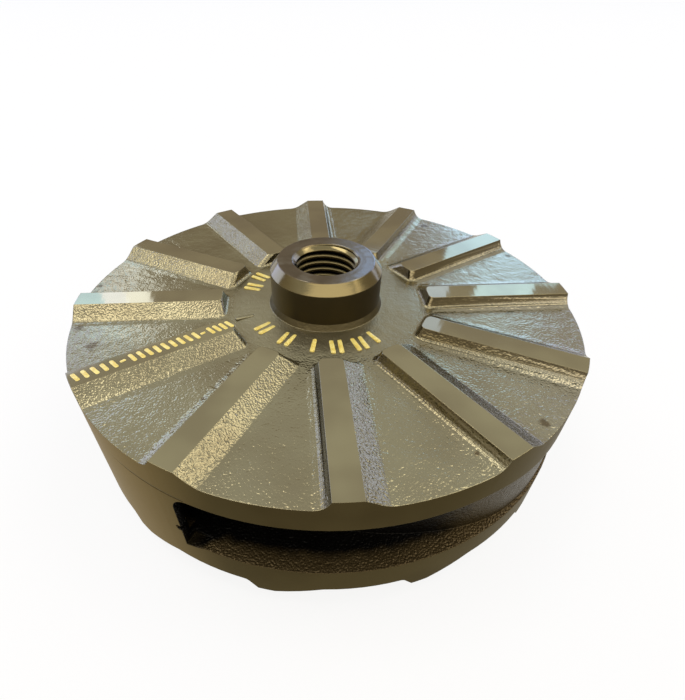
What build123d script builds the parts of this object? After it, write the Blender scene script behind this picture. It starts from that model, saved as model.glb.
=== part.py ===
from build123d import *
import math
import os

# Closed pump impeller, one iron casting.  Millimetres and degrees, +Z up, hub on top.
# The origin is on the shaft axis, in the plane that the suction collar stands on.

# Shrouds and collar
outer_dia = 250.0          # both shrouds, turned in one set-up
front_shroud = 14.0        # suction-side shroud at its rim
outlet_width = 31.5        # passage height, floor to roof
back_shroud = 11.9         # hub-side shroud at its rim
collar_dia = 116.0         # running face of the suction collar
collar_rise = 8.0          # collar beyond the front ribs
collar_fillet = 6.0
collar_chamfer = 1.2
eye_dia = 90.0
eye_lip = 18.0             # radius that turns the flow from the eye to the floor

# Hub and shaft thread
hub_dia = 54.9             # turned part of the hub
hub_rise = 19.1            # hub face above the back ribs
hub_skin = 0.7             # what the lathe took off the cast hub
hub_turned_below = 0.6     # turning stops this far below the rib tops
hub_fillet = 3.8
hub_chamfer_wide = 3.8
hub_chamfer_deep = 4.9
thread_dia = 31.75         # 1 1/4 inch, seven to the inch, over its crests
thread_relief = 0.15       # clearance of the plain wall round the thread
bore_depth = 50.0
bore_lead_in = 0.5
drill_angle = 118.0

# Nose that carries the blind bore into the eye
nose_dia = 52.0
nose_drop = 27.0
nose_fillet = 14.0
nose_round = 12.0

# Main vanes
main_vanes = 3
vane_land = 30.0           # angle that each vane tip covers on the rim
vane_land_end = 239.0      # where the first land ends, at its passage
vane_tip_wrap = 25.0       # flat stretch of the outer face before the land, left as cast
vane_tip_hollow = 2.4      # depth of that stretch below the rim where it starts
vane_wrap = 142.5          # angle from leading edge to the flat stretch
vane_blunt = 5.0           # depth of the blunt trailing end
vane_end_round = 4.0       # between the inner face and the blunt end
vane_nose_outer = 54.0     # radius of the outer face at the leading edge
vane_nose_inner = 46.0     # radius of the inner face at the leading edge
vane_nose_share = 0.44     # corner radius of the leading edge, as a share of its thickness
spiral_steps = 8
roof_fillet = 8.5

# Ribs on the backs of the shrouds that pump grit outwards
rib_count = 12
back_rib_height = 5.0
back_rib_steep_top = 7.0   # leading edge of the milled top, off the radial line
back_rib_slope_top = 3.85  # trailing edge of the milled top
back_rib_steep_foot = 9.0
back_rib_slope_foot = 12.6
back_rib_start = 52.5
back_rib_fillet = 2.2
back_rib_end_round = 3.0
front_rib_height = 5.7
front_rib_steep_top = 3.8
front_rib_slope_top = 3.4
front_rib_steep_foot = 8.2
front_rib_slope_foot = 23.5
front_rib_start = 70.0
front_rib_fillet = 3.0
front_rib_end_round = 1.5
rib_end_draft = 20.0       # lean of the inner end of each rib

# Casting faults beside the first land
nick_radius = 1.7
nick_height = 8.9          # above the passage floor
nick_depth = 6.0
gouge_depth = 3.3
gouge_length = 10.0

# Stock on the cast rim, turned off last, and how far joined bodies reach into each other
turning_stock = 6.0
overlap = 5.0
run_out_turn = 1.0         # degrees the outer face turns per millimetre, out in the turning stock
rib_sink = 1.5
fuzz = 0.01

# Levels
rim_r = outer_dia / 2
z_front_tops = collar_rise
z_front_face = z_front_tops + front_rib_height
z_floor = z_front_face + front_shroud
z_roof = z_floor + outlet_width
z_back_face = z_roof + back_shroud
z_back_tops = z_back_face + back_rib_height
z_top = z_back_tops + hub_rise
z_turned = z_back_tops - hub_turned_below
z_lip = z_floor - eye_lip
cast_r = rim_r + turning_stock
core_r = cast_r + overlap


def polar(radius, angle):
    """A point in the plan, from its radius and its angle in degrees."""
    return (radius * math.cos(math.radians(angle)), radius * math.sin(math.radians(angle)))


def swirl(first_r, first_a, last_r, last_a):
    """Points of a vane face whose radius grows evenly with its angle."""
    shares = [step / spiral_steps for step in range(spiral_steps + 1)]
    return [polar(first_r + (last_r - first_r) * s, first_a + (last_a - first_a) * s) for s in shares]


def rib(steep_top, slope_top, steep_foot, slope_foot, start, end_round, z_tops, z_face):
    """A rib along +X: parallel milled top, steep leading flank, long slope behind it."""
    share = 1 + rib_sink / abs(z_tops - z_face)
    z_foot = z_tops + (z_face - z_tops) * share
    lean = math.copysign(rib_end_draft, z_tops - z_face)
    with BuildPart() as body:
        with BuildSketch(Plane.YZ.offset(start / 2)):
            Polygon(
                (-steep_top, z_tops),
                (slope_top, z_tops),
                (slope_top + (slope_foot - slope_top) * share, z_foot),
                (-steep_top - (steep_foot - steep_top) * share, z_foot),
                align=None,
            )
        extrude(amount=rim_r + turning_stock / 2 - start / 2)
        split(bisect_by=Plane((start, 0, z_tops), z_dir=Vector(1, 0, 0).rotate(Axis.Y, lean)))
        inner_end = body.faces().sort_by(Axis.X)[0]
        fillet(inner_end.edges().filter_by(Axis.Y, reverse=True), radius=end_round)
    return body.part


# The blank: hub, both shrouds as one thick disc, and the suction collar.
hub_r = hub_dia / 2
collar_r = collar_dia / 2
with BuildPart() as blank:
    with BuildSketch(Plane.XZ) as blank_half:
        with BuildLine():
            Polyline(
                (0, 0),
                (collar_r, 0),
                (collar_r, z_front_face),
                (cast_r, z_front_face),
                (cast_r, z_back_face),
                (hub_r + hub_skin, z_back_face),
                (hub_r + hub_skin, z_turned),
                (hub_r, z_turned),
                (hub_r, z_top - hub_chamfer_deep),
                (hub_r - hub_chamfer_wide, z_top),
                (0, z_top),
                close=True,
            )
        make_face()
        hub_root = blank_half.vertices().sort_by_distance((hub_r + hub_skin, 0, z_back_face))[0]
        collar_root = blank_half.vertices().sort_by_distance((collar_r, 0, z_front_face))[0]
        collar_edge = blank_half.vertices().sort_by_distance((collar_r, 0, 0))[0]
        fillet(hub_root, radius=hub_fillet)
        fillet(collar_root, radius=collar_fillet)
        chamfer(collar_edge, length=collar_chamfer)
    revolve(axis=Axis.Z)

# The sand core: the space of all the passages, a disc less the plan of the main vanes.
pitch = 360 / main_vanes
land_start = vane_land_end - vane_land
tip_start = land_start - vane_tip_wrap
nose_angle = tip_start - vane_wrap
run_out = (core_r + overlap - rim_r) * run_out_turn
leading_round = vane_nose_share * (vane_nose_outer - vane_nose_inner)
roof_centre = Vertex(0, 0, z_roof)
with BuildPart() as core:
    with BuildSketch(Plane.XY.offset(z_lip)):
        Circle(core_r)
        with BuildSketch(mode=Mode.PRIVATE) as vane_plan:
            with BuildLine():
                outer_face = swirl(vane_nose_outer, nose_angle, rim_r - vane_tip_hollow, tip_start)
                outer_face.append(polar(rim_r - vane_tip_hollow / 2, tip_start + vane_tip_wrap / 2))
                outer_face.append(polar(rim_r, land_start))
                outer_face.append(polar(core_r + overlap, land_start + run_out))
                inner_face = swirl(vane_nose_inner, nose_angle, rim_r - vane_blunt, vane_land_end)
                Spline(*outer_face)
                Spline(*inner_face)
                Line(inner_face[0], outer_face[0])
                Line(inner_face[-1], polar(core_r + overlap, vane_land_end))
                ThreePointArc(
                    polar(core_r + overlap, vane_land_end),
                    polar(core_r + overlap, (vane_land_end + land_start + run_out) / 2),
                    outer_face[-1],
                )
            make_face()
            leading_corners = vane_plan.vertices().sort_by_distance((0, 0, 0))[:2]
            fillet(leading_corners, radius=leading_round)
            trailing_corner = vane_plan.vertices().sort_by_distance(inner_face[-1])[0]
            fillet(trailing_corner, radius=vane_end_round)
        with PolarLocations(0, main_vanes):
            add(vane_plan.sketch, mode=Mode.SUBTRACT)
    extrude(amount=z_roof - z_lip)
    with BuildSketch(Plane.XZ):
        with BuildLine():
            Polyline((0, z_lip), (0, z_roof), (core_r, z_roof), (core_r, z_floor), (eye_dia / 2 + eye_lip, z_floor))
            RadiusArc((eye_dia / 2 + eye_lip, z_floor), (eye_dia / 2, z_lip), -eye_lip)
            Line((eye_dia / 2, z_lip), (0, z_lip))
        make_face()
    revolve(axis=Axis.Z, mode=Mode.INTERSECT)
    roof_edges = core.faces().sort_by(Axis.Z)[-1].edges()
    fillet(roof_edges.filter_by(lambda edge: edge.distance_to(roof_centre) < core_r - fuzz), radius=roof_fillet)
    with Locations((0, 0, z_lip)):
        Cylinder(eye_dia / 2, z_lip + overlap, align=(Align.CENTER, Align.CENTER, Align.MAX))

nose_r = nose_dia / 2
bore_r = thread_dia / 2 + thread_relief
z_bore = z_top - bore_depth
z_nose = z_roof - nose_drop
# The casting: blank less core, with the nose and the ribs added.
with BuildPart() as impeller:
    add(blank.part)
    add(core.part, mode=Mode.SUBTRACT)
    with BuildSketch(Plane.XZ) as nose_half:
        with BuildLine():
            Polyline(
                (0, z_roof + overlap),
                (nose_r + nose_fillet + overlap, z_roof + overlap),
                (nose_r + nose_fillet + overlap, z_roof),
                (nose_r, z_roof),
                (nose_r, z_nose),
                (0, z_nose),
                close=True,
            )
        make_face()
        nose_root = nose_half.vertices().sort_by_distance((nose_r, 0, z_roof))[0]
        nose_rim = nose_half.vertices().sort_by_distance((nose_r, 0, z_nose))[0]
        fillet(nose_root, radius=nose_fillet)
        fillet(nose_rim, radius=nose_round)
    revolve(axis=Axis.Z)

    back_rib = rib(
        back_rib_steep_top,
        back_rib_slope_top,
        back_rib_steep_foot,
        back_rib_slope_foot,
        back_rib_start,
        back_rib_end_round,
        z_back_tops,
        z_back_face,
    )
    with PolarLocations(0, rib_count):
        add(back_rib)
    back_feet = impeller.edges().filter_by_position(Axis.Z, z_back_face - fuzz, z_back_face + fuzz)
    fillet(back_feet.filter_by(GeomType.CIRCLE, reverse=True), radius=back_rib_fillet)

    front_rib = rib(
        front_rib_steep_top,
        front_rib_slope_top,
        front_rib_steep_foot,
        front_rib_slope_foot,
        front_rib_start,
        front_rib_end_round,
        z_front_tops,
        z_front_face,
    )
    with PolarLocations(0, rib_count, start_angle=180 / rib_count):
        add(front_rib)
    front_feet = impeller.edges().filter_by_position(Axis.Z, z_front_face - fuzz, z_front_face + fuzz)
    front_flanks = front_feet.filter_by(GeomType.LINE).filter_by(lambda foot: foot.length > rim_r - front_rib_start)
    fillet(front_flanks, radius=front_rib_fillet)

    # Machining: rim turned, hub bored blind for the shaft thread, the mouth of the bore broken.
    Cylinder(rim_r, z_top, align=(Align.CENTER, Align.CENTER, Align.MIN), mode=Mode.INTERSECT)
    with BuildSketch(Plane.XZ):
        with BuildLine():
            Polyline(
                (0, z_top),
                (bore_r + bore_lead_in, z_top),
                (bore_r, z_top - bore_lead_in),
                (bore_r, z_bore),
                (0, z_bore - bore_r / math.tan(math.radians(drill_angle / 2))),
                close=True,
            )
        make_face()
    revolve(axis=Axis.Z, mode=Mode.SUBTRACT)

    # Faults left by the sand: a nick in the edge of the first passage, a gouge in its floor.
    edge_x, edge_y = polar(rim_r, vane_land_end)
    outward = Vector(edge_x, edge_y, 0).normalized()
    along = outward.rotate(Axis.Z, 90)
    edge_plane = Plane((edge_x, edge_y, z_floor), x_dir=along, z_dir=outward)
    with Locations(edge_plane.offset(-nick_depth / 2)):
        with Locations((-nick_radius / 2, nick_height)):
            Cylinder(nick_radius, nick_depth * 2, mode=Mode.SUBTRACT)
    with BuildSketch(edge_plane.offset(-nick_depth)):
        Polygon((0, -gouge_depth), (gouge_length, 0), (0, overlap), align=None)
    extrude(amount=nick_depth * 2, mode=Mode.SUBTRACT)

impeller.part.label = "impeller"
os.makedirs("parts", exist_ok=True)
export_step(impeller.part, "parts/impeller.step")
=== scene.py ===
import math

import bmesh
import bpy
from mathutils import Matrix, Vector


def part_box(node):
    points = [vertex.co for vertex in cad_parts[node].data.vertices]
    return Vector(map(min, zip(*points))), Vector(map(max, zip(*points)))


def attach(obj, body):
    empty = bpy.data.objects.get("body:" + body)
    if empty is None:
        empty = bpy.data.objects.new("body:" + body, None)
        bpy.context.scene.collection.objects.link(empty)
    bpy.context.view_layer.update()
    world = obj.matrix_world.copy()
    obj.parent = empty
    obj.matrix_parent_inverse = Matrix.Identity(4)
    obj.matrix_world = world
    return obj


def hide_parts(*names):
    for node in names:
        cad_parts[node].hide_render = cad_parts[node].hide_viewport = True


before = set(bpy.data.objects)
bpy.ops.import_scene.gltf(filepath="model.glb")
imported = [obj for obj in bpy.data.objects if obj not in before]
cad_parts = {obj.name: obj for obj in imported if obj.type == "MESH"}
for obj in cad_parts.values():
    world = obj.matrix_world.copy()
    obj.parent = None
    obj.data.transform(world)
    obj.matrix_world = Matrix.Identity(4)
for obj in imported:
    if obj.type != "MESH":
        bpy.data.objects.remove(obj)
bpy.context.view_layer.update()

# The casting: a closed pump impeller in grey cast iron, poured in one piece round a sand core and
# brown with a film of oil. Its rims, collar and hub are turned and its rib tops are milled, so each
# kind of face has its own finish, and the rest keeps the skin that the sand gave it.
MM = 0.001
CASTING_LOW, CASTING_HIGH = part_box("impeller")
HUB_TOP = CASTING_HIGH[2]
HUB_RISE = 19.1 * MM
BACK_RIB_HEIGHT = 5.0 * MM
BACK_SHROUD = 11.9 * MM
OUTLET_WIDTH = 31.5 * MM
RIB_TOPS = HUB_TOP - HUB_RISE
BACK_FACE = RIB_TOPS - BACK_RIB_HEIGHT
ROOF = BACK_FACE - BACK_SHROUD
FLOOR = ROOF - OUTLET_WIDTH


def linear(hex_colour):
    """An sRGB hex colour as linear RGBA."""
    channels = [int(hex_colour[i : i + 2], 16) / 255 for i in (1, 3, 5)]
    return [c / 12.92 if c <= 0.04045 else ((c + 0.055) / 1.055) ** 2.4 for c in channels] + [1.0]


def new_material(name):
    """An empty node material and its tree."""
    material = bpy.data.materials.new(name)
    material.use_nodes = True
    material.node_tree.nodes.clear()
    return material, material.node_tree


def add_node(tree, kind, inputs=(), output=0, **settings):
    """Adds a shader node with its settings, sets or links its inputs, named or in order, and
    gives one of its outputs."""
    node = tree.nodes.new("ShaderNode" + kind)
    for name, value in settings.items():
        setattr(node, name, value)
    for name, value in inputs.items() if isinstance(inputs, dict) else enumerate(inputs):
        if isinstance(value, bpy.types.NodeSocket):
            tree.links.new(value, node.inputs[name])
        else:
            node.inputs[name].default_value = value
    return node.outputs[output] if node.outputs else None


def on_plan(radius, angle, height=0.0):
    """A point from its radius, its angle in degrees and its height."""
    turn = math.radians(angle)
    return Vector((radius * math.cos(turn), radius * math.sin(turn), height))


# Settings of the two nodes used most: a range that starts and ends softly, and a mix of colours,
# whose inputs 0, 6 and 7 are the share and the two colours.
SOFTLY = {"interpolation_type": "SMOOTHSTEP"}
COLOURS = {"output": 2, "data_type": "RGBA"}

# Sand-cast iron under oil: brown and half glossy, duller round the hub. Sand left a rippled skin on
# the flats, and grit on the slopes and in the passages, drawn coarser than it is so that it shows.
# Deep in the passages their shade is painted in black.
SAND_GRAIN = 0.8 * MM
RIPPLE = 4 * MM
SWELL = 18 * MM
WORN_EDGE = 0.5 * MM
cast_iron, tree = new_material("cast_iron_sand_cast_oiled")
place = add_node(tree, "TexCoord", output="Object")
x, y, height = (add_node(tree, "SeparateXYZ", [place], axis) for axis in "XYZ")
facing = add_node(tree, "SeparateXYZ", [add_node(tree, "TexCoord", output="Normal")], "Z")
level = add_node(tree, "Math", [facing], operation="ABSOLUTE")
tilt = add_node(tree, "Math", [1.0, level], operation="SUBTRACT")
flat_place = add_node(tree, "CombineXYZ", [x, y])
from_axis = add_node(tree, "VectorMath", [flat_place], "Value", operation="LENGTH")

leaning = add_node(tree, "MapRange", [tilt, 0.015, 0.10], **SOFTLY)
not_steep = add_node(tree, "MapRange", [tilt, 0.35, 0.55, 1.0, 0.0], **SOFTLY)
slope = add_node(tree, "Math", [leaning, not_steep], operation="MULTIPLY")
above_floor = add_node(tree, "MapRange", [height, FLOOR - 6 * MM, FLOOR - 0.5 * MM], **SOFTLY)
under_roof = add_node(tree, "MapRange", [height, ROOF + 0.5 * MM, ROOF + 2 * MM, 1.0, 0.0], **SOFTLY)
passage = add_node(tree, "Math", [above_floor, under_roof], operation="MULTIPLY")
gritty = add_node(tree, "Math", [slope, passage], operation="MAXIMUM")

grain_inputs = {"Vector": place, "Scale": 1 / SAND_GRAIN, "Smoothness": 1.0}
from_grain = add_node(tree, "TexVoronoi", grain_inputs, "Distance", feature="SMOOTH_F1")
grain = add_node(tree, "Math", [from_grain, from_grain], operation="MULTIPLY")
flats_depth = add_node(tree, "MapRange", [y, -60 * MM, 0.0, -0.16, -0.07], **SOFTLY)
grain_depth = add_node(tree, "MapRange", [gritty, 0.0, 1.0, flats_depth, -0.28], **SOFTLY)
grain_depth = add_node(tree, "Math", [passage, -0.2, grain_depth], operation="MULTIPLY_ADD")
ripples = add_node(tree, "TexNoise", {"Vector": place, "Scale": 1 / RIPPLE})
swells = add_node(tree, "TexNoise", {"Vector": place, "Scale": 1 / SWELL, "Detail": 1.0})
relief = add_node(tree, "Math", [grain, grain_depth], operation="MULTIPLY")
relief = add_node(tree, "Math", [ripples, 0.24, relief], operation="MULTIPLY_ADD")
relief = add_node(tree, "Math", [swells, 0.35, relief], operation="MULTIPLY_ADD")
edge = add_node(tree, "Bevel", {"Radius": WORN_EDGE}, samples=6)
skin = add_node(tree, "Bump", {"Strength": 1.0, "Distance": MM, "Height": relief, "Normal": edge})

# Its film of oil: two browns in clouds, with a painted sheen of cool daylight that greys it to
# the right, and painted shade that darkens the steep flanks.
cloud = add_node(tree, "TexNoise", {"Vector": place, "Scale": 1 / (45 * MM)})
cloud = add_node(tree, "MapRange", [cloud, 0.35, 0.65], **SOFTLY)
film_and_painted_light = add_node(tree, "Mix", {0: cloud, 6: linear("#7d755b"), 7: linear("#888267")}, **COLOURS)
# Painted sheen: greyer to the right.
painted_sheen_right = add_node(tree, "MapRange", [x, 30 * MM, 110 * MM, 0.0, 0.65], **SOFTLY)
film_and_painted_light = add_node(tree, "Mix", {0: painted_sheen_right, 6: film_and_painted_light, 7: linear("#928d7b")}, **COLOURS)
# Painted shade: darker on the steep flanks.
steep_painted_shade = add_node(tree, "MapRange", [tilt, 0.50, 0.62, 0.0, 0.7], **SOFTLY)
film_and_painted_light = add_node(tree, "Mix", {0: steep_painted_shade, 6: film_and_painted_light, 7: linear("#5a523b")}, **COLOURS)

# Specks of rust and dirt with ragged edges, each with its radius, its bearing and its size.
SPECKS = [
    (121.1, 188.0, 3.2), (123.0, 169.7, 2.6), (114.0, 196.1, 4.2), (88.6, 232.0, 1.3), (115.7, 51.1, 3.4),
    (122.2, 21.6, 2.6), (119.8, 310.8, 3.0), (114.4, 294.4, 1.7), (112.0, 28.0, 3.4),
]
fleck_inputs = {"Vector": place, "Scale": 1 / (1.6 * MM), "Detail": 3.0, "Roughness": 0.7}
flecks = add_node(tree, "TexNoise", fleck_inputs)
dirt = 0.0
for radius, angle, size in SPECKS:
    spot = on_plan(radius * MM, angle, BACK_FACE)
    away = add_node(tree, "VectorMath", [place, spot], "Value", operation="DISTANCE")
    ragged = add_node(tree, "Math", [flecks, -1.6 * size * MM, away], operation="MULTIPLY_ADD")
    speck_range = [ragged, -0.45 * size * MM, 0.15 * size * MM, 0.7, 0.0]
    speck = add_node(tree, "MapRange", speck_range, **SOFTLY)
    dirt = add_node(tree, "Math", [dirt, speck], operation="MAXIMUM")
film_and_painted_light = add_node(tree, "Mix", {0: dirt, 6: film_and_painted_light, 7: linear("#4b3a22")}, **COLOURS)

# The passages: browner than outside, with painted shade darkening their upright walls, and painted
# black as shadow inside this radius, where the shroud above shades them. The painted shadow reaches
# further out behind the first land.
SHROUD_SHADOW_R = 120 * MM
SHROUD_SHADOW_FADE = 3 * MM
LAND_BEARINGS = [math.radians(angle) for angle in (-122, -119, -114)]
# Painted shade: upright passage walls darker.
upright = add_node(tree, "MapRange", [tilt, 0.3, 0.6], **SOFTLY)
passage_film_and_shade = add_node(tree, "Mix", {0: upright, 6: linear("#51442a"), 7: linear("#3c321d")}, **COLOURS)
film_and_painted_light = add_node(tree, "Mix", {0: passage, 6: film_and_painted_light, 7: passage_film_and_shade}, **COLOURS)
shadow_edge_noise = add_node(tree, "TexNoise", {"Vector": place, "Scale": 1 / (5 * MM), "Detail": 3.0})
shadow_edge = add_node(tree, "Math", [shadow_edge_noise, 5 * MM, from_axis], operation="MULTIPLY_ADD")
bearing = add_node(tree, "Math", [y, x], operation="ARCTAN2")
past_land = add_node(tree, "Math", [bearing, LAND_BEARINGS[0]], operation="GREATER_THAN")
lee = add_node(tree, "MapRange", [bearing, *LAND_BEARINGS[1:], 9 * MM, 0.0], **SOFTLY)
lee = add_node(tree, "Math", [past_land, lee], operation="MULTIPLY")
shadow_edge = add_node(tree, "Math", [shadow_edge, lee], operation="SUBTRACT")
painted_shadow = add_node(tree, "MapRange", [shadow_edge, SHROUD_SHADOW_R - SHROUD_SHADOW_FADE, SHROUD_SHADOW_R + SHROUD_SHADOW_FADE, 1.0, 0.0], **SOFTLY)
painted_shadow = add_node(tree, "Math", [passage, painted_shadow], operation="MULTIPLY")
# Painted shadow: black deep in the passages.
film_and_painted_light = add_node(tree, "Mix", {0: painted_shadow, 6: film_and_painted_light, 7: linear("#070605")}, **COLOURS)

patches = add_node(tree, "TexNoise", {"Vector": place, "Scale": 1 / (9 * MM)})
roughness = add_node(tree, "MapRange", [patches, 0.3, 0.7, 0.15, 0.20], **SOFTLY)
roughness = add_node(tree, "Math", [gritty, 0.05, roughness], operation="MULTIPLY_ADD")
round_hub = add_node(tree, "MapRange", [from_axis, 42 * MM, 54 * MM, 0.2, 0.0], **SOFTLY)
roughness = add_node(tree, "Math", [roughness, round_hub], operation="ADD")
roughness = add_node(tree, "Math", [passage, 0.16, roughness], operation="MULTIPLY_ADD")
metallic = add_node(tree, "Math", [passage, -0.35, 0.95], operation="MULTIPLY_ADD")
iron_inputs = {
    "Base Color": film_and_painted_light, "Metallic": metallic, "Roughness": roughness, "Normal": skin,
    "Specular Tint": linear("#eae8e0"),
}
add_node(tree, "OutputMaterial", {"Surface": add_node(tree, "BsdfPrincipled", iron_inputs)})

# Milled iron on the rib tops: flat and nearly a mirror, with the faint arcs of a fly cutter and
# its edges broken by a file. The arcs are drawn wider than the cutter's feed so that they show.
CUTTER_ARC = 9.6 * MM
FILED_EDGE = 0.35 * MM
milled_iron, tree = new_material("cast_iron_milled")
place = add_node(tree, "TexCoord", output="Object")
cloud = add_node(tree, "TexNoise", {"Vector": place, "Scale": 1 / (30 * MM)})
cloud = add_node(tree, "MapRange", [cloud, 0.35, 0.65], **SOFTLY)
tone = add_node(tree, "Mix", {0: cloud, 6: linear("#7f765a"), 7: linear("#8d8566")}, **COLOURS)
arc_inputs = {"Vector": place, "Scale": 1 / CUTTER_ARC, "Distortion": 1.5, "Detail": 1.0}
arcs = add_node(tree, "TexWave", arc_inputs, "Fac", wave_type="RINGS", rings_direction="Z")
drag = add_node(tree, "Math", [arcs, 0.002], operation="MULTIPLY")
waves = add_node(tree, "TexNoise", {"Vector": place, "Scale": 1 / (12 * MM), "Detail": 1.0})
waves = add_node(tree, "Math", [waves, 0.02, drag], operation="MULTIPLY_ADD")
edge = add_node(tree, "Bevel", {"Radius": FILED_EDGE}, samples=6)
face = add_node(tree, "Bump", {"Strength": 1.0, "Distance": MM, "Height": waves, "Normal": edge})
iron_inputs = {"Base Color": tone, "Normal": face, "Metallic": 0.95, "Roughness": 0.06}
add_node(tree, "OutputMaterial", {"Surface": add_node(tree, "BsdfPrincipled", iron_inputs)})

# Turned iron on the rims, browned by oil and handling: smooth, with a painted sheen that makes it
# paler on the left, with rings that run round it, and a scribed line where the cut of the hub side
# ended on the first land, darkened by painted shade in its groove.
SHEEN_BEARING = 200.0
SCRIBE_HEIGHT = RIB_TOPS - 16.4 * MM
SCRIBE_START, SCRIBE_FULL, SCRIBE_END = (math.radians(angle - 360) for angle in (222.0, 232.0, 242.0))
turned_iron, tree = new_material("cast_iron_turned_oiled")
place = add_node(tree, "TexCoord", output="Object")
x, y, height = (add_node(tree, "SeparateXYZ", [place], axis) for axis in "XYZ")
cloud = add_node(tree, "TexNoise", {"Vector": place, "Scale": 1 / (35 * MM)})
cloud = add_node(tree, "MapRange", [cloud, 0.35, 0.65], **SOFTLY)
tone = add_node(tree, "Mix", {0: cloud, 6: linear("#392f1a"), 7: linear("#423821")}, **COLOURS)
# Painted sheen: paler on the left.
leftward = add_node(tree, "VectorMath", [place, on_plan(1, SHEEN_BEARING)], "Value", operation="DOT_PRODUCT")
painted_sheen_left = add_node(tree, "MapRange", [leftward, 80 * MM, 122 * MM], **SOFTLY)
tone = add_node(tree, "Mix", {0: painted_sheen_left, 6: tone, 7: linear("#7f6a40")}, **COLOURS)
off_line = add_node(tree, "Math", [height, SCRIBE_HEIGHT], operation="SUBTRACT")
off_line = add_node(tree, "Math", [off_line], operation="ABSOLUTE")
on_line = add_node(tree, "MapRange", [off_line, 0.25 * MM, 0.6 * MM, 1.0, 0.0], **SOFTLY)
bearing = add_node(tree, "Math", [y, x], operation="ARCTAN2")
begun = add_node(tree, "MapRange", [bearing, SCRIBE_START, SCRIBE_FULL], **SOFTLY)
not_ended = add_node(tree, "Math", [bearing, SCRIBE_END], operation="LESS_THAN")
stretch = add_node(tree, "Math", [begun, not_ended], operation="MULTIPLY")
scribed = add_node(tree, "Math", [on_line, stretch], operation="MULTIPLY")
# Painted shade in the scribed groove.
painted_groove_shade = add_node(tree, "Math", [scribed, 0.75], operation="MULTIPLY")
tone = add_node(tree, "Mix", {0: painted_groove_shade, 6: tone, 7: linear("#1d160c")}, **COLOURS)
ring_inputs = {"Vector": add_node(tree, "CombineXYZ", {2: height}), "Scale": 1 / (0.7 * MM), "Roughness": 0.7}
rings = add_node(tree, "TexNoise", ring_inputs)
rings = add_node(tree, "Math", [rings, 0.008], operation="MULTIPLY")
groove = add_node(tree, "Math", [scribed, -0.25, rings], operation="MULTIPLY_ADD")
edge = add_node(tree, "Bevel", {"Radius": FILED_EDGE}, samples=6)
face = add_node(tree, "Bump", {"Strength": 1.0, "Distance": MM, "Height": groove, "Normal": edge})
iron_inputs = {
    "Base Color": tone, "Normal": face, "Metallic": 0.95, "Roughness": 0.42,
    "Specular Tint": linear("#dcd5c2"),
}
add_node(tree, "OutputMaterial", {"Surface": add_node(tree, "BsdfPrincipled", iron_inputs)})

# Bright turned hub: bare metal with fine rings, straw and violet in places from the heat of the cut,
# with a painted reflection that greys it to the right. Its duller side is painted darker as shade and
# lighter at its left edge as painted light, and the grooves of the thread are painted black as shade.
HUB_R = 27.45 * MM
BORE_R = 16.025 * MM
THREAD_CREST_R = 14.1 * MM
CHAMFER_FOOT = HUB_TOP - 4.9 * MM
MOUTH_FOOT = HUB_TOP - 2.55 * MM
KNOCKED_EDGE = 0.6 * MM
hub_iron, tree = new_material("cast_iron_turned_bright")
place = add_node(tree, "TexCoord", output="Object")
x, y, height = (add_node(tree, "SeparateXYZ", [place], axis) for axis in "XYZ")
flat_place = add_node(tree, "CombineXYZ", [x, y])
from_axis = add_node(tree, "VectorMath", [flat_place], "Value", operation="LENGTH")
heat = add_node(tree, "TexNoise", {"Vector": place, "Scale": 1 / (14 * MM)})
heat = add_node(tree, "MapRange", [heat, 0.38, 0.6], **SOFTLY)
tint = add_node(tree, "Mix", {0: heat, 6: linear("#564b38"), 7: linear("#625744")}, **COLOURS)
# Painted reflection: greyer to the right.
painted_reflection_right = add_node(tree, "MapRange", [x, -4 * MM, 16 * MM], **SOFTLY)
tint = add_node(tree, "Mix", {0: painted_reflection_right, 6: tint, 7: linear("#70706c")}, **COLOURS)
straw = add_node(tree, "TexNoise", {"Vector": place, "Scale": 1 / (9 * MM)})
straw = add_node(tree, "MapRange", [straw, 0.5, 0.75], **SOFTLY)
tint = add_node(tree, "Mix", {0: straw, 6: tint, 7: linear("#716b5e")}, **COLOURS)
on_chamfer = add_node(tree, "MapRange", [height, HUB_TOP - 0.1 * MM, HUB_TOP - 0.4 * MM], **SOFTLY)
tint = add_node(tree, "Mix", {0: on_chamfer, 6: tint, 7: linear("#746a4b")}, **COLOURS)

side_range = [height, CHAMFER_FOOT - 0.2 * MM, CHAMFER_FOOT + 0.2 * MM, 1.0, 0.0]
on_side = add_node(tree, "MapRange", side_range, **SOFTLY)
outside = add_node(tree, "MapRange", [from_axis, HUB_R - 1.5 * MM, HUB_R - 1.0 * MM], **SOFTLY)
dull_shaded_side = add_node(tree, "Math", [on_side, outside], operation="MULTIPLY")
# Painted shade: the hub side darker, with painted light at its left edge.
painted_light_left = add_node(tree, "MapRange", [x, -25 * MM, -15 * MM], **SOFTLY)
painted_side_shade = add_node(tree, "Mix", {0: painted_light_left, 6: linear("#6e6445"), 7: linear("#463f2d")}, **COLOURS)
tint = add_node(tree, "Mix", {0: dull_shaded_side, 6: tint, 7: painted_side_shade}, **COLOURS)

groove_range = [from_axis, THREAD_CREST_R + 0.5 * MM, THREAD_CREST_R + 1.3 * MM]
in_groove = add_node(tree, "MapRange", groove_range, **SOFTLY)
in_bore = add_node(tree, "Math", [from_axis, BORE_R + 0.3 * MM], operation="LESS_THAN")
mouth_range = [height, MOUTH_FOOT - 0.15 * MM, MOUTH_FOOT + 0.15 * MM, 1.0, 0.0]
below_mouth = add_node(tree, "MapRange", mouth_range, **SOFTLY)
in_thread = add_node(tree, "Math", [in_bore, below_mouth], operation="MULTIPLY")
painted_thread_shade = add_node(tree, "Math", [in_groove, in_thread], operation="MULTIPLY")
# Painted shade: black in the grooves of the thread.
tint = add_node(tree, "Mix", {0: painted_thread_shade, 6: tint, 7: linear("#0d0b08")}, **COLOURS)

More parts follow.
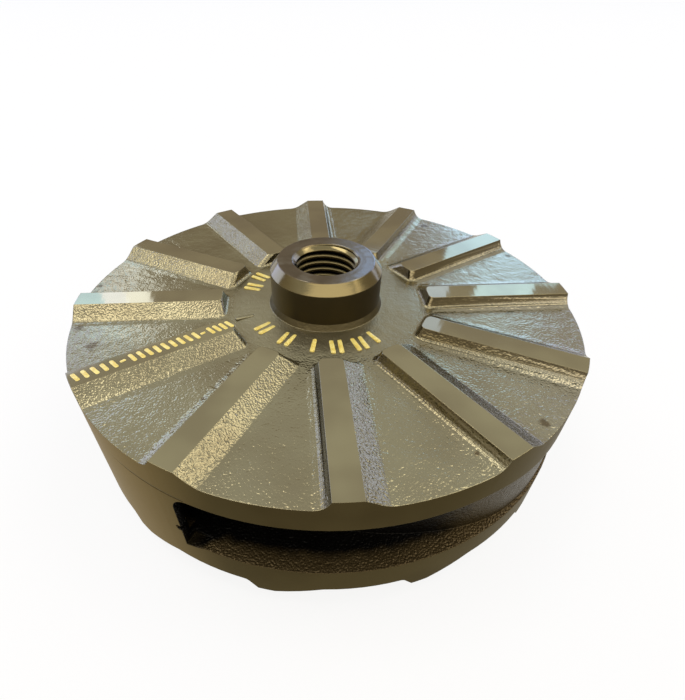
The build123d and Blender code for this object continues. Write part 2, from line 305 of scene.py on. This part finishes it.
cut = add_node(tree, "CombineXYZ", {0: from_axis, 2: height})
rings = add_node(tree, "TexNoise", {"Vector": cut, "Scale": 1 / (0.5 * MM), "Roughness": 0.7})
rings = add_node(tree, "Math", [rings, 0.012], operation="MULTIPLY")
beyond_mouth = add_node(tree, "MapRange", [from_axis, BORE_R + 1 * MM, BORE_R + 4 * MM], **SOFTLY)
dents = add_node(tree, "TexNoise", {"Vector": place, "Scale": 1 / (7 * MM), "Detail": 1.0})
dents = add_node(tree, "Math", [dents, beyond_mouth], operation="MULTIPLY")
worn = add_node(tree, "Math", [dents, 0.12, rings], operation="MULTIPLY_ADD")
edge = add_node(tree, "Bevel", {"Radius": KNOCKED_EDGE}, samples=8)
face = add_node(tree, "Bump", {"Strength": 1.0, "Distance": MM, "Height": worn, "Normal": edge})
roughness = add_node(tree, "MapRange", [dull_shaded_side, 0.0, 1.0, 0.15, 0.5], **SOFTLY)
roughness = add_node(tree, "Math", [in_thread, 0.25, roughness], operation="MULTIPLY_ADD")
iron_inputs = {"Base Color": tint, "Normal": face, "Metallic": 1.0, "Roughness": roughness}
add_node(tree, "OutputMaterial", {"Surface": add_node(tree, "BsdfPrincipled", iron_inputs)})

# The casting's own mesh: a copy of the solid's, with its doubles merged, that stands for it. On the
# hub side each rib runs out into its valleys through hollows that the sand gave it: a wide shallow
# one at the foot of the long slope, a tighter one at the foot of the steep flank.
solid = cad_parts["impeller"]
casting = solid.copy()
casting.data = solid.data.copy()
casting.name = "impeller_casting"
bpy.context.collection.objects.link(casting)
casting.parent = None
casting.matrix_world = Matrix.Identity(4)
casting.data.materials.clear()
for finish in (cast_iron, milled_iron, turned_iron, hub_iron):
    casting.data.materials.append(finish)
CAST, MILLED, TURNED, BRIGHT = range(4)

bpy.ops.object.select_all(action="DESELECT")
bpy.context.view_layer.objects.active = casting
casting.select_set(True)
bpy.ops.mesh.customdata_custom_splitnormals_clear()
bpy.ops.object.mode_set(mode="EDIT")
bpy.ops.mesh.select_all(action="SELECT")
bpy.ops.mesh.remove_doubles(threshold=0.002 * MM)
bpy.ops.object.mode_set(mode="OBJECT")

# A rib's sizes are measured across it from its own radial line, which lies between its long slope,
# on the positive side, and its steep flank.
UP = Vector((0, 0, 1))
TOUCH = 0.06 * MM
RIBS = 12
RIB_START = 52.5 * MM
SLOPE_TOP = 3.85 * MM
SLOPE_FOOT = 12.6 * MM
STEEP_TOP = 7.0 * MM
STEEP_FOOT = 9.0 * MM
HOLLOW = 3.4 * MM
COVE_R = 7.0 * MM
RUN_IN = 6 * MM
SLOPE_FALL = BACK_RIB_HEIGHT / (SLOPE_FOOT - SLOPE_TOP)
steep_angle = math.atan2(BACK_RIB_HEIGHT, STEEP_FOOT - STEEP_TOP)
COVE_FOOT = STEEP_FOOT + COVE_R * math.tan(steep_angle / 2)
slope_cuts = [SLOPE_FOOT + HOLLOW * share for share in (-1.0, -0.7, -0.4, -0.1, 0.2, 0.45, 0.7, 1.0)]
steep_cuts = [COVE_R * math.sin(steep_angle * step / 10) - COVE_FOOT for step in range(11)]


def hollow_height(offset):
    """How far the hollows rise above the valley at an offset from the middle of the rib."""
    share = (offset - SLOPE_FOOT) / HOLLOW
    if abs(share) < 1:
        return SLOPE_FALL * HOLLOW * (1 - share) ** 2 / 4
    turned = (offset + COVE_FOOT) / COVE_R
    if 0 < turned < math.sin(steep_angle):
        return COVE_R * (1 - math.sqrt(1 - turned**2))
    return 0.0


# The mesh is cut in strips along both feet of each rib, and their points are lifted onto the curve
# of the hollow, which fades in over a short run from the rib's inner end.
sculpted = bmesh.new()
sculpted.from_mesh(casting.data)
for rib in range(RIBS):
    along = on_plan(1, rib * 360 / RIBS)
    across = UP.cross(along)
    strip = []
    for face in sculpted.faces:
        if min(vertex.co.z for vertex in face.verts) < BACK_FACE - TOUCH:
            continue
        offsets = [vertex.co.dot(across) for vertex in face.verts]
        reach = max(vertex.co.dot(along) for vertex in face.verts)
        if reach > RIB_START and max(offsets) > -COVE_FOOT and min(offsets) < SLOPE_FOOT + HOLLOW:
            strip.append(face)
    strip = list({part for face in strip for part in (face, *face.edges, *face.verts)})
    for cut in slope_cuts + steep_cuts:
        sliced = bmesh.ops.bisect_plane(sculpted, geom=strip, plane_co=across * cut, plane_no=across)
        strip = sliced["geom"]
    for vertex in sculpted.verts:
        out = vertex.co.dot(along) - RIB_START
        if out > 0 and BACK_FACE - TOUCH < vertex.co.z < RIB_TOPS - TOUCH:
            rise = hollow_height(vertex.co.dot(across)) * min(out / RUN_IN, 1)
            vertex.co.z = max(vertex.co.z, BACK_FACE + rise)

# At the hub the sand's fillet runs straight up into the turned side, over the step of skin that
# the cutter left.
HUB_SKIN = 0.7 * MM
HUB_FILLET = 3.8 * MM
HUB_FOOT_R = 4.4 * MM
for vertex in sculpted.verts:
    radius = vertex.co.xy.length
    out = HUB_R + HUB_SKIN + HUB_FILLET - radius
    rise = vertex.co.z - BACK_FACE
    if HUB_R + TOUCH < radius and out > -TOUCH and -TOUCH < rise < HUB_FOOT_R + TOUCH:
        turned = max(math.atan2(HUB_FILLET - rise, out), 0)
        vertex.co.xy *= (HUB_R + HUB_FOOT_R * (1 - math.cos(turned))) / radius
        vertex.co.z = BACK_FACE + HUB_FOOT_R * (1 - math.sin(turned))
bmesh.ops.remove_doubles(sculpted, verts=sculpted.verts, dist=0.01 * MM)
sculpted.to_mesh(casting.data)
sculpted.free()

# Each face gets its finish from where it is: level tops of ribs are milled, the rims, the foot and
# the side of the collar are turned, and the hub and its bore are bright.
RIM_R = (CASTING_HIGH[0] - CASTING_LOW[0]) / 2
COLLAR_R = 58.0 * MM
COLLAR_EDGE = 1.3 * MM
COLLAR_RISE = 8.0 * MM
HUB_SIDE_FOOT = RIB_TOPS - 0.7 * MM
BORE_FOOT = HUB_TOP - 52 * MM
SMOOTH_BELOW = math.radians(28)
SHARP_CAST_ABOVE = math.radians(50)


def finish_of(polygon):
    """Which of the casting's finishes a face has."""
    height, radius = polygon.center.z, polygon.center.xy.length
    points = [casting.data.vertices[index].co for index in polygon.vertices]
    if abs(polygon.normal.z) > 0.99 and radius > HUB_R:
        if abs(height - RIB_TOPS) < TOUCH or abs(height - COLLAR_RISE) < TOUCH:
            return MILLED
        return TURNED if height < TOUCH else CAST
    on_rim = min(point.xy.length for point in points) > RIM_R - TOUCH
    on_collar = abs(radius - COLLAR_R) < COLLAR_EDGE and height < COLLAR_RISE
    if on_rim or on_collar:
        return TURNED
    on_hub = height > HUB_SIDE_FOOT and radius < HUB_R + TOUCH
    in_bore = height > BORE_FOOT and radius < BORE_R + TOUCH
    return BRIGHT if on_hub or in_bore else CAST


for polygon in casting.data.polygons:
    polygon.material_index = finish_of(polygon)
bpy.ops.object.shade_smooth_by_angle(angle=SMOOTH_BELOW)
faces_of = {}
for polygon in casting.data.polygons:
    for key in polygon.edge_keys:
        faces_of.setdefault(key, []).append(polygon)
for edge in casting.data.edges:
    beside = faces_of.get(edge.key, [])
    if len(beside) == 2 and all(polygon.material_index == CAST for polygon in beside):
        edge.use_edge_sharp = beside[0].normal.angle(beside[1].normal) > SHARP_CAST_ABOVE
weighted = casting.modifiers.new("even_normals", "WEIGHTED_NORMAL")
weighted.keep_sharp = True
bpy.ops.object.modifier_apply(modifier=weighted.name)
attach(casting, "root")
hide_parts("impeller")

# The shaft thread: a coarse right-hand thread cut in the hub bore, seven turns to the inch, with
# broad rounded crests. The mouth of the bore is countersunk, which cuts the first crest away.
THREAD_PITCH = 25.4 / 7 * MM
THREAD_ROOT_R = BORE_R + 0.25 * MM
THREAD_CREST = THREAD_PITCH * 0.5
THREAD_GAP = 0.05 * MM
CREST_ROUND = 0.8 * MM
CREST_TURNS = (-75, -45, -15, 15, 45, 75)
THREAD_TURNS = 11
TURNS_ABOVE = 2
CREST_ABOVE_RIBS = 13.0 * MM
AWAY_FROM_FRONT = 86.0
THREAD_SMOOTH_BELOW = math.radians(25)

section = [(THREAD_ROOT_R, THREAD_GAP - THREAD_PITCH / 2)]
for turn in map(math.radians, CREST_TURNS):
    section.append((THREAD_CREST_R + CREST_ROUND * (1 - math.cos(turn)), THREAD_CREST / 2 * math.sin(turn)))
section.append((THREAD_ROOT_R, THREAD_PITCH / 2 - THREAD_GAP))
bpy.ops.object.select_all(action="DESELECT")
bpy.ops.mesh.primitive_circle_add(vertices=len(section), radius=1)
thread = bpy.context.object
thread.name = "shaft_thread"
start_height = RIB_TOPS + CREST_ABOVE_RIBS + TURNS_ABOVE * THREAD_PITCH
for vertex, (radius, rise) in zip(thread.data.vertices, section):
    vertex.co = on_plan(radius, AWAY_FROM_FRONT, start_height + rise)
screw = thread.modifiers.new("helix", "SCREW")
screw.axis = "Z"
screw.angle = math.radians(-360)
screw.screw_offset = -THREAD_PITCH
screw.iterations = THREAD_TURNS
screw.steps = 72
screw.render_steps = 72
bpy.ops.object.modifier_apply(modifier=screw.name)
bpy.ops.object.mode_set(mode="EDIT")
bpy.ops.mesh.select_all(action="SELECT")
bpy.ops.mesh.remove_doubles(threshold=0.001 * MM)
bpy.ops.mesh.select_all(action="DESELECT")
bpy.ops.mesh.select_mode(type="EDGE")
bpy.ops.mesh.select_non_manifold()
bpy.ops.mesh.fill_holes(sides=len(section))
bpy.ops.mesh.select_all(action="SELECT")
bpy.ops.mesh.normals_make_consistent(inside=False)
bpy.ops.object.mode_set(mode="OBJECT")

mouth_depth = BORE_R + 0.5 * MM - THREAD_CREST_R
bpy.ops.object.select_all(action="DESELECT")
bpy.ops.mesh.primitive_cone_add(
    vertices=96, radius1=THREAD_CREST_R, radius2=THREAD_CREST_R + 4 * mouth_depth,
    depth=4 * mouth_depth, location=(0, 0, HUB_TOP + mouth_depth),
)
countersink = bpy.context.object
bpy.ops.object.transform_apply(location=True, rotation=True, scale=True)
bpy.ops.object.select_all(action="DESELECT")
bpy.context.view_layer.objects.active = thread
thread.select_set(True)
cut_mouth = thread.modifiers.new("countersink", "BOOLEAN")
cut_mouth.operation = "DIFFERENCE"
cut_mouth.object = countersink
cut_mouth.solver = "EXACT"
bpy.ops.object.modifier_apply(modifier=cut_mouth.name)
bpy.data.objects.remove(countersink)
thread.data.materials.clear()
thread.data.materials.append(hub_iron)
bpy.ops.object.shade_smooth_by_angle(angle=THREAD_SMOOTH_BELOW)
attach(thread, "root")

# Yellow alkyd enamel, brushed on by hand: half glossy, with streaks from the bristles, and worn to
# a brown stain at the feet of what it covers.
enamel, tree = new_material("alkyd_enamel_brushed")
place = add_node(tree, "TexCoord", output="Object")
height = add_node(tree, "SeparateXYZ", [place], "Z")
streaks = add_node(tree, "TexNoise", {"Vector": place, "Scale": 1 / (2.5 * MM)})
streaks = add_node(tree, "MapRange", [streaks, 0.35, 0.65], **SOFTLY)
paint = add_node(tree, "Mix", {0: streaks, 6: linear("#dcc460"), 7: linear("#ead981")}, **COLOURS)
chips = add_node(tree, "TexNoise", {"Vector": place, "Scale": 1 / (1.2 * MM)})
chips = add_node(tree, "Math", [chips, -0.8 * MM, height], operation="MULTIPLY_ADD")
worn_range = [chips, BACK_FACE - 0.1 * MM, BACK_FACE + 0.15 * MM, 1.0, 0.0]
worn = add_node(tree, "MapRange", worn_range, **SOFTLY)
paint = add_node(tree, "Mix", {0: worn, 6: paint, 7: linear("#7a6a38")}, **COLOURS)
bristles = add_node(tree, "TexNoise", {"Vector": place, "Scale": 1 / (0.8 * MM), "Detail": 1.0})
bristles = add_node(tree, "Math", [bristles, 0.04], operation="MULTIPLY")
coat = add_node(tree, "Bump", {"Strength": 1.0, "Distance": MM, "Height": bristles})
paint_inputs = {"Base Color": paint, "Normal": coat, "Roughness": 0.35, "IOR": 1.5}
add_node(tree, "OutputMaterial", {"Surface": add_node(tree, "BsdfPrincipled", paint_inputs)})

# Foundry marks: short raised bars cast round the hub, a millimetre proud, in pairs and alone, each
# placed by its radius and bearing. All but one are picked out in the enamel.
MARK_LENGTH = 9.6 * MM
MARK_WIDTH = 2.3 * MM
MARK_RISE = 1.0 * MM
MARK_ROUND = 0.8 * MM
MARK_GAP = 3.9 * MM
MARK_SUNK = 0.2 * MM
MARK_SMOOTH_BELOW = math.radians(40)
PAIRS = [(38.2, 216.3), (37.9, 237.6), (39.2, 273.3), (39.6, 289.4), (43.2, 142.4), (40.8, 157.2)]
SINGLES = [(38.5, 257.7), (38.4, 301.6)]
BARE = (42.8, 197.2)


def slab(size, rounding):
    """A bar with rounded corners and rounded top edges, on its feet at the origin."""
    bpy.ops.object.select_all(action="DESELECT")
    bpy.ops.mesh.primitive_cube_add(size=1)
    piece = bpy.context.object
    piece.scale = size
    piece.location = UP * size[2] / 2
    bpy.ops.object.transform_apply(location=True, rotation=True, scale=True)
    bpy.ops.object.mode_set(mode="EDIT")
    bpy.ops.mesh.select_mode(type="EDGE")
    edit_mesh = bmesh.from_edit_mesh(piece.data)
    for edge in edit_mesh.edges:
        edge.select_set(abs((edge.verts[0].co - edge.verts[1].co).normalized().z) > 0.9)
    bmesh.update_edit_mesh(piece.data)
    bpy.ops.mesh.bevel(offset=rounding, segments=4)
    bpy.ops.mesh.select_all(action="DESELECT")
    edit_mesh = bmesh.from_edit_mesh(piece.data)
    for edge in edit_mesh.edges:
        edge.select_set(min(vertex.co.z for vertex in edge.verts) > size[2] - 0.001 * MM)
    bmesh.update_edit_mesh(piece.data)
    bpy.ops.mesh.bevel(offset=size[2] * 0.4, segments=3)
    bpy.ops.object.mode_set(mode="OBJECT")
    return piece


def copied(pattern, centre, turn):
    """A copy of the pattern with its own mesh, at centre and turned about the vertical."""
    piece = pattern.copy()
    piece.data = pattern.data.copy()
    piece.data.transform(Matrix.Translation(centre) @ Matrix.Rotation(math.radians(turn), 4, "Z"))
    bpy.context.collection.objects.link(piece)
    return piece


def join(pieces, name, finish):
    """Makes one piece of several and gives it its finish."""
    bpy.ops.object.select_all(action="DESELECT")
    for piece in pieces:
        piece.select_set(True)
    bpy.context.view_layer.objects.active = pieces[0]
    bpy.ops.object.join()
    whole = bpy.context.object
    whole.name = name
    whole.data.materials.clear()
    whole.data.materials.append(finish)
    bpy.ops.object.shade_smooth_by_angle(angle=MARK_SMOOTH_BELOW)
    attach(whole, "root")


def mark(radius, angle, aside=0.0):
    """One raised bar that points at the hub, moved sideways by aside."""
    centre = on_plan(radius * MM, angle, BACK_FACE - MARK_SUNK) + UP.cross(on_plan(1, angle)) * aside
    return copied(bar, centre, angle)


bar = slab((MARK_LENGTH, MARK_WIDTH, MARK_RISE + MARK_SUNK), MARK_ROUND)
painted = [mark(radius, angle, side * MARK_GAP / 2) for radius, angle in PAIRS for side in (-1, 1)]
painted += [mark(radius, angle) for radius, angle in SINGLES]
join(painted, "foundry_marks_painted", enamel)
join([mark(*BARE)], "foundry_mark_bare", cast_iron)
bpy.data.objects.remove(bar)

# Brush strokes: a tally in the same yellow enamel, dabbed by hand along the milled top of one rib,
# three groups of strokes with a dash between each. A group has its first stroke's distance from
# the axis, its number of strokes and their step.
TALLY_RIB = 210.0
TALLY_LINE = -2.0 * MM
STROKE = (6.0 * MM, 1.8 * MM, 0.07 * MM)
DASH = (1.4 * MM, 2.6 * MM, 0.07 * MM)
GROUPS = [(122.0, 5, 3.9), (98.5, 9, 3.6), (62.5, 4, 3.1)]
DASHES = [102.6, 66.3]
STROKE_LEAN = 14.0
STROKE_SWAY = 2.0
DASH_LEAN = 8.0
DAB_ROUND = 0.45


def dab(pattern, out, lean):
    """One stroke of paint on the rib, at a distance from the axis and leaning."""
    along = on_plan(1, TALLY_RIB)
    centre = along * out * MM + UP.cross(along) * TALLY_LINE + UP * RIB_TOPS
    return copied(pattern, centre, TALLY_RIB + 90 + lean)


stroke = slab(STROKE, min(STROKE[:2]) * DAB_ROUND)
dash = slab(DASH, min(DASH[:2]) * DAB_ROUND)
dabs = []
for group_start, strokes, step in GROUPS:
    for count in range(strokes):
        lean = STROKE_LEAN + STROKE_SWAY * math.sin(2.4 * count + group_start)
        dabs.append(dab(stroke, group_start - step * count, lean))
dabs += [dab(dash, out, DASH_LEAN) for out in DASHES]
join(dabs, "brush_strokes", enamel)
bpy.data.objects.remove(stroke)
bpy.data.objects.remove(dash)

# Floor: white painted board, laid flat under the collar. It keeps the part's shadow, and glows for
# the camera and for gloss, so that it shows white and metal shows it too.
bpy.ops.object.select_all(action="DESELECT")
bpy.ops.mesh.primitive_plane_add(size=8.0, location=(0, 0, 0))
floor = bpy.context.object
floor.name = "floor"
floor_paint, tree = new_material("floor_white_paint")
paint = add_node(tree, "BsdfDiffuse", {"Color": linear("#f0f0f0")})
glow = add_node(tree, "Emission", {"Color": linear("#ffffff"), "Strength": 1.0})
for_camera = add_node(tree, "LightPath", output="Is Camera Ray")
for_gloss = add_node(tree, "LightPath", output="Is Glossy Ray")
seen = add_node(tree, "Math", [for_camera, for_gloss], operation="MAXIMUM")
share = add_node(tree, "Math", [seen, 0.85], operation="MULTIPLY")
add_node(tree, "OutputMaterial", {"Surface": add_node(tree, "MixShader", [share, paint, glow])})
floor.data.materials.append(floor_paint)

# Room: white all round for the camera. Gloss sees walls that are creamier and dimmer lower down,
# and all other light from the room is half as strong.
world = bpy.data.worlds.new("studio")
bpy.context.scene.world = world
world.use_nodes = True
tree = world.node_tree
tree.nodes.clear()
for_camera = add_node(tree, "LightPath", output="Is Camera Ray")
for_gloss = add_node(tree, "LightPath", output="Is Glossy Ray")
seen = add_node(tree, "Math", [for_camera, for_gloss], operation="MAXIMUM")
upward = add_node(tree, "SeparateXYZ", [add_node(tree, "TexCoord", output="Generated")], "Z")
brightness = add_node(tree, "MapRange", [upward, 0.28, 0.66, 0.68, 1.0], **SOFTLY)
brightness = add_node(tree, "Math", [brightness, for_camera], operation="MAXIMUM")
whiteness = add_node(tree, "MapRange", [upward, 0.34, 0.72], **SOFTLY)
whiteness = add_node(tree, "Math", [whiteness, for_camera], operation="MAXIMUM")
wall_colour = add_node(tree, "Mix", {0: whiteness, 6: linear("#e5d7c1"), 7: linear("#ffffff")}, **COLOURS)
room = add_node(tree, "Background", {"Color": linear("#ffffff"), "Strength": 0.5})
walls = add_node(tree, "Background", {"Color": wall_colour, "Strength": brightness})
add_node(tree, "OutputWorld", {"Surface": add_node(tree, "MixShader", [seen, room, walls])})

# Lamps: two skylights overhead, broad soft panels from the front and the left, and tall windows
# on both sides, cool daylight in panes, which show as pale bands in the milled rib tops.
CEILING = 6.0


def softbox(name, place, aim, size, radiance, colour):
    """A rectangular lamp of even radiance at place, faced to aim, that the camera doesn't see."""
    data = bpy.data.lights.new(name, "AREA")
    data.shape = "RECTANGLE"
    data.size, data.size_y = size
    data.energy = radiance * math.pi * size[0] * size[1]
    data.color = linear(colour)[:3]
    lamp = bpy.data.objects.new(name, data)
    bpy.context.collection.objects.link(lamp)
    lamp.location = place
    lamp.rotation_euler = (Vector(aim) - Vector(place)).to_track_quat("-Z", "Y").to_euler()
    lamp.visible_camera = False


def panel(name, bearings, elevations, radiance, colour, distance=12.0):
    """A far softbox that fills those bearings and elevations, in degrees, as the part sees them."""
    bearing, elevation = sum(bearings) / 2, sum(elevations) / 2
    level = distance * math.cos(math.radians(elevation))
    place = on_plan(level, bearing, RIB_TOPS + distance * math.sin(math.radians(elevation)))
    width = 2 * level * math.tan(math.radians(bearings[1] - bearings[0]) / 2)
    depth = 2 * distance * math.tan(math.radians(elevations[1] - elevations[0]) / 2)
    softbox(name, place, (0, 0, RIB_TOPS), (width, depth), radiance, colour)


softbox("skylight_left", (-2.0, 0.85, CEILING), (-2.0, 0.85, 0), (2.5, 2.8), 4.2, "#fff8ee")
softbox("skylight_right", (3.5, 1.4, CEILING), (3.5, 1.4, 0), (3.8, 2.2), 2.8, "#fff6e4")
panel("front", (215, 330), (26, 52), 1.6, "#fff0d8", 7.0)
panel("front_right", (332, 372), (30, 58), 1.8, "#fff0d8", 7.0)
panel("left", (148, 175), (42, 60), 1.9, "#fff4e2", 7.0)
panel("window_left_cyan", (115.3, 119.5), (22, 34.6), 3.2, "#9ccbff")
panel("window_left_white", (112.6, 115.3), (22, 34.6), 3.8, "#c6d4ff")
panel("window_left_ivory", (109.6, 112.6), (22, 34.3), 3.4, "#d6e1ff")
panel("window_left_grey", (119.5, 144.0), (20, 35.5), 3.0, "#a9bcff")
panel("window_left_low", (128.0, 160.0), (0, 20), 3.4, "#a9bcff")
panel("window_right_cyan", (58.0, 64.9), (26.5, 31.2), 3.4, "#9ccbff")
panel("window_right_low", (56.0, 69.5), (14, 26.5), 3.4, "#9ccbff")
panel("window_right_end", (62.0, 75.0), (3, 20.0), 3.2, "#a4c4ff")
panel("window_right_pale", (68.4, 73.0), (28.0, 36.0), 2.2, "#9dbfff")
panel("window_right_grey", (26.0, 57.0), (5, 24), 2.4, "#a9bcff")
panel("window_middle_pale", (77, 82), (26.0, 29.5), 2.4, "#a3c7ff")

# Camera: close above the front rim, as the part would be looked at on a bench. Its focal length
# and shift are in pixels of a frame this wide.
EYE = Vector((-16.480, -206.204, 200.734)) * MM
HEADING, PITCH, ROLL = (math.radians(angle) for angle in (86.088, 43.055, 0.431))
FRAME_PX = 700.0
FOCAL_PX = 460.73
SHIFT_PX = (22.25, 41.03)
look = Vector((math.cos(HEADING) * math.cos(PITCH), math.sin(HEADING) * math.cos(PITCH), -math.sin(PITCH)))
camera_data = bpy.data.cameras.new("camera")
camera_data.sensor_width = 36.0
camera_data.lens = FOCAL_PX * camera_data.sensor_width / FRAME_PX
camera_data.shift_x = SHIFT_PX[0] / FRAME_PX
camera_data.shift_y = SHIFT_PX[1] / FRAME_PX
camera_data.clip_start = 0.01
camera = bpy.data.objects.new("camera", camera_data)
bpy.context.collection.objects.link(camera)
camera.location = EYE
camera.rotation_euler = (look.to_track_quat("-Z", "Y").to_matrix() @ Matrix.Rotation(ROLL, 3, "Z")).to_euler()
bpy.context.scene.camera = camera
bpy.context.scene.view_settings.view_transform = "Standard"
